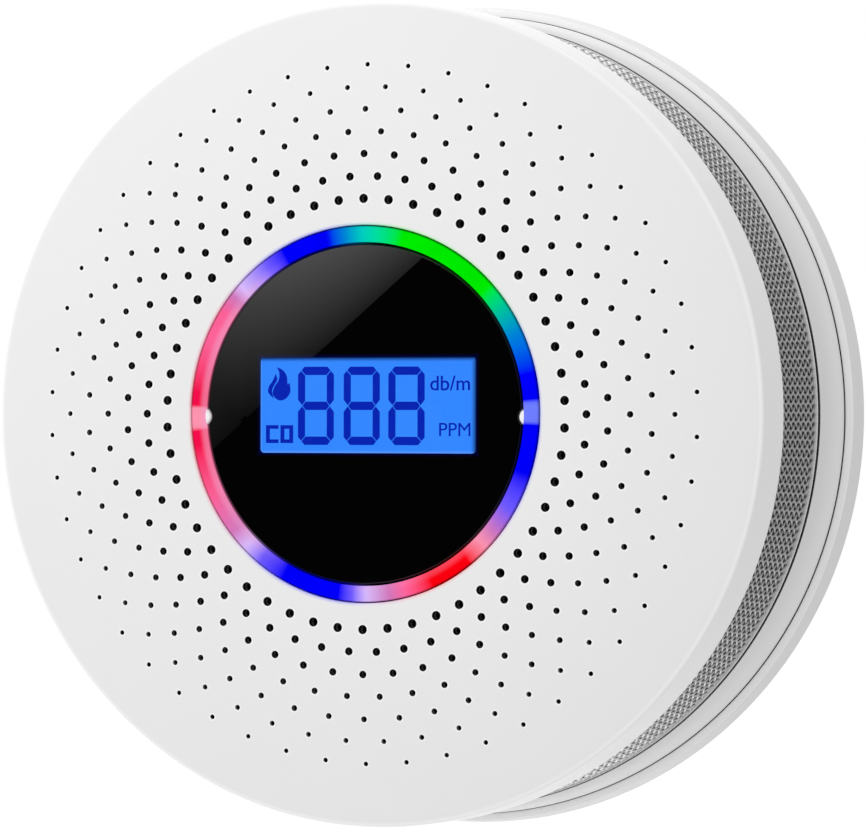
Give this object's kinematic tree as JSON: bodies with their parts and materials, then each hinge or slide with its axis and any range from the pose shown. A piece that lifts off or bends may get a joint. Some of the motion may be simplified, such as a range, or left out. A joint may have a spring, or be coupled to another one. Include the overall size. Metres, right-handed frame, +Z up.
{
  "type": "carbon monoxide detector",
  "caption": "Round wall-mounted gas and smoke detector with a domed perforated face, light ring, push lens over a display, mesh vent band and bayonet wall plate.",
  "frame": {"origin": "centre of the wall plate's back face, which lies on the wall", "axes": "+Z up, +Y into the wall, the front faces -Y, and +X is to the right as seen from the front"},
  "size_m": [0.106, 0.0381, 0.1058],
  "materials": {
    "white_shell": "satin moulded ABS",
    "white_base": "satin moulded ABS",
    "wire_mesh": "fine diagonal wire weave",
    "light_guide": "translucent, lit in colours",
    "black_lens": "polished acrylic",
    "black_plastic": "matte",
    "display_glass": "blue backlit display glass",
    "backlight": "lit diffuser",
    "board": "green solder mask",
    "steel": "nickel plated",
    "brass": "plain",
    "cell_can": "plain wrapped cell",
    "grey_rubber": "matte",
    "red_insulation": "satin",
    "lamp_white": "moulded lamp body"
  },
  "bodies": {
    "mount": {"mounting_plate": "white_base"},
    "detector": {"rear_housing": "white_shell", "battery_door": "white_shell", "battery_1": "cell_can", "battery_2": "cell_can", "contact_spring_1": "steel", "contact_spring_2": "steel", "contact_plate_positive": "steel", "contact_link": "steel", "battery_lead_red": "red_insulation", "battery_lead_black": "black_plastic", "vent_cage": "white_shell", "mesh_screen": "wire_mesh", "front_cover": "white_shell", "light_ring": "light_guide", "tact_switch_body": "black_plastic", "lcd_glass": "display_glass", "backlight_panel": "backlight", "contact_strip": "grey_rubber", "display_bezel": "black_plastic", "main_pcb": "board", "ring_led_1": "lamp_white", "ring_led_2": "lamp_white", "ring_led_3": "lamp_white", "ring_led_4": "lamp_white", "ring_led_5": "lamp_white", "ring_led_6": "lamp_white", "ring_led_7": "lamp_white", "ring_led_8": "lamp_white", "microcontroller": "black_plastic", "storage_capacitor": "steel", "boost_inductor": "grey_rubber", "smoke_chamber_base": "black_plastic", "smoke_chamber_cover": "black_plastic", "infrared_led": "lamp_white", "photodiode": "black_lens", "co_sensor_housing": "steel", "co_sensor_cap": "grey_rubber", "sounder_case": "black_plastic", "piezo_disc": "brass", "cover_screw_1": "steel", "cover_screw_2": "steel", "cover_screw_3": "steel", "pcb_screw_1": "steel", "pcb_screw_2": "steel"},
    "button": {"button_lens": "black_lens", "window_mask": "black_plastic", "button_frame": "black_plastic"},
    "plunger": {"switch_plunger": "grey_rubber"}
  },
  "joints": [
    {"name": "bayonet_twist", "type": "hinge", "parent": "mount", "child": "detector", "pos_m": [0, 0, 0], "axis": [0, -1, 0], "range_deg": [0, 15]},
    {"name": "button_press", "type": "slide", "parent": "detector", "child": "button", "axis": [0, 1, 0], "range_m": [0, 0.0006], "stiffness_N_per_m": 100},
    {"name": "plunger_press", "type": "slide", "parent": "detector", "child": "plunger", "axis": [0, 1, 0], "range_m": [0, 0.0003]}
  ],
  "couplings": [
    {"joint": "plunger_press", "follows": "button_press", "ratio": 0.5}
  ]
}
